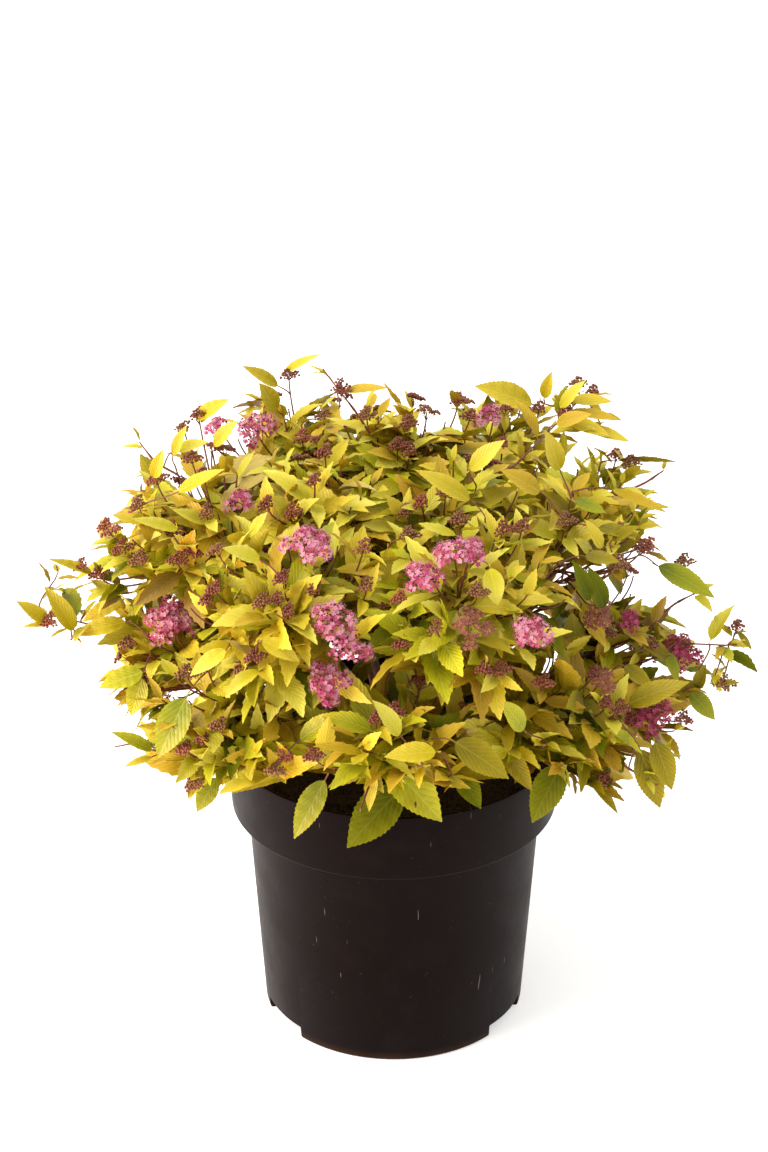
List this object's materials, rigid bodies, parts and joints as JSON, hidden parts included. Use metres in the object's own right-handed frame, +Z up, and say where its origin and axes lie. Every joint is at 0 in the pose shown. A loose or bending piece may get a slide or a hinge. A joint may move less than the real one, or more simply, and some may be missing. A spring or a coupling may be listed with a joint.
{
  "type": "potted spirea shrub",
  "caption": "Low rounded flowering shrub with golden leaves and pink flower heads, standing in a round black nursery pot with a stepped band and a notched foot.",
  "frame": {"origin": "middle of the pot's flat underside, on the floor that the pot stands on", "axes": "+Z up along the pot's axis, -Y towards the viewer of the picture, +X to the viewer's right"},
  "size_m": [0.5903, 0.5212, 0.583],
  "materials": {
    "bark": "thin smooth red-brown bark",
    "black_plastic": "moulded black plastic, satin",
    "compost_crumb": "dark crumbly potting compost",
    "foliage_gold": "golden serrate leaves",
    "foliage_lime": "lime green serrate leaves",
    "foliage_olive": "olive gold serrate leaves"
  },
  "bodies": {
    "root": {"bough_shoulder_1": "bark", "bough_shoulder_2": "bark", "bough_shoulder_3": "bark", "bough_shoulder_4": "bark", "bough_shoulder_5": "bark", "bough_shoulder_6": "bark", "bough_skirt_1": "bark", "bough_skirt_2": "bark", "bough_skirt_3": "bark", "bough_skirt_4": "bark", "bough_skirt_5": "bark", "bough_skirt_6": "bark", "bough_skirt_7": "bark", "bough_skirt_8": "bark", "bough_top_1": "bark", "bough_top_2": "bark", "bough_top_3": "bark", "compost": "compost_crumb", "foliage_shoulder_1": "foliage_gold", "foliage_shoulder_2": "foliage_olive", "foliage_shoulder_3": "foliage_olive", "foliage_shoulder_4": "foliage_gold", "foliage_shoulder_5": "foliage_gold", "foliage_shoulder_6": "foliage_gold", "foliage_skirt_1": "foliage_lime", "foliage_skirt_2": "foliage_olive", "foliage_skirt_3": "foliage_olive", "foliage_skirt_4": "foliage_olive", "foliage_skirt_5": "foliage_lime", "foliage_skirt_6": "foliage_lime", "foliage_skirt_7": "foliage_lime", "foliage_skirt_8": "foliage_lime", "foliage_spray_far_left": "foliage_gold", "foliage_spray_far_right": "foliage_gold", "foliage_spray_lower_left": "foliage_gold", "foliage_spray_lower_right": "foliage_gold", "foliage_spray_right": "foliage_gold", "foliage_spray_right_high": "foliage_gold", "foliage_spray_summit": "foliage_gold", "foliage_spray_upper_left": "foliage_gold", "foliage_spray_upper_right": "foliage_gold", "foliage_top_1": "foliage_gold", "foliage_top_2": "foliage_gold", "foliage_top_3": "foliage_gold", "pot": "black_plastic", "shoot_far_left": "bark", "shoot_far_right": "bark", "shoot_lower_left": "bark", "shoot_lower_right": "bark", "shoot_right": "bark", "shoot_right_high": "bark", "shoot_summit": "bark", "shoot_upper_left": "bark", "shoot_upper_right": "bark", "stool": "bark"}
  },
  "joints": []
}
